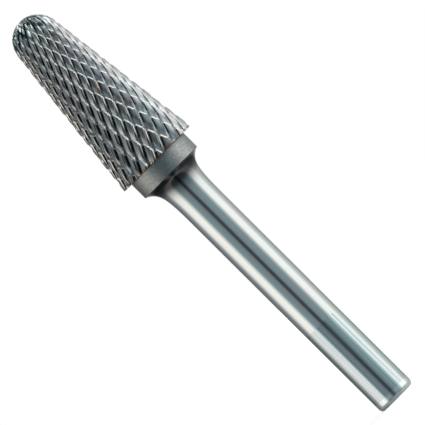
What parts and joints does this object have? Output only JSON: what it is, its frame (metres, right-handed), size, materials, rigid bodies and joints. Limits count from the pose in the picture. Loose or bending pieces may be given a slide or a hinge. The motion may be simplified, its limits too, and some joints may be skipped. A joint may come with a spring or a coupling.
{
  "type": "carbide burr",
  "caption": "Double-cut carbide burr with a ball-nosed cone head, brazed to a straight steel shank with a collar and a hollow neck.",
  "frame": {"origin": "centre of the shank's flat end face, where the burr stands", "axes": "+Z along the shank towards the cutting head's nose"},
  "size_m": [0.0126, 0.0125, 0.0725],
  "materials": {
    "tungsten_carbide": "ground, bright on the tooth lands and dark in the gullets",
    "braze": "dull, stained brown",
    "steel": "polished shank, ground clamping length, satin collar"
  },
  "bodies": {
    "root": {"cutter_head": "tungsten_carbide", "braze_joint": "braze", "shank": "steel"}
  },
  "joints": []
}
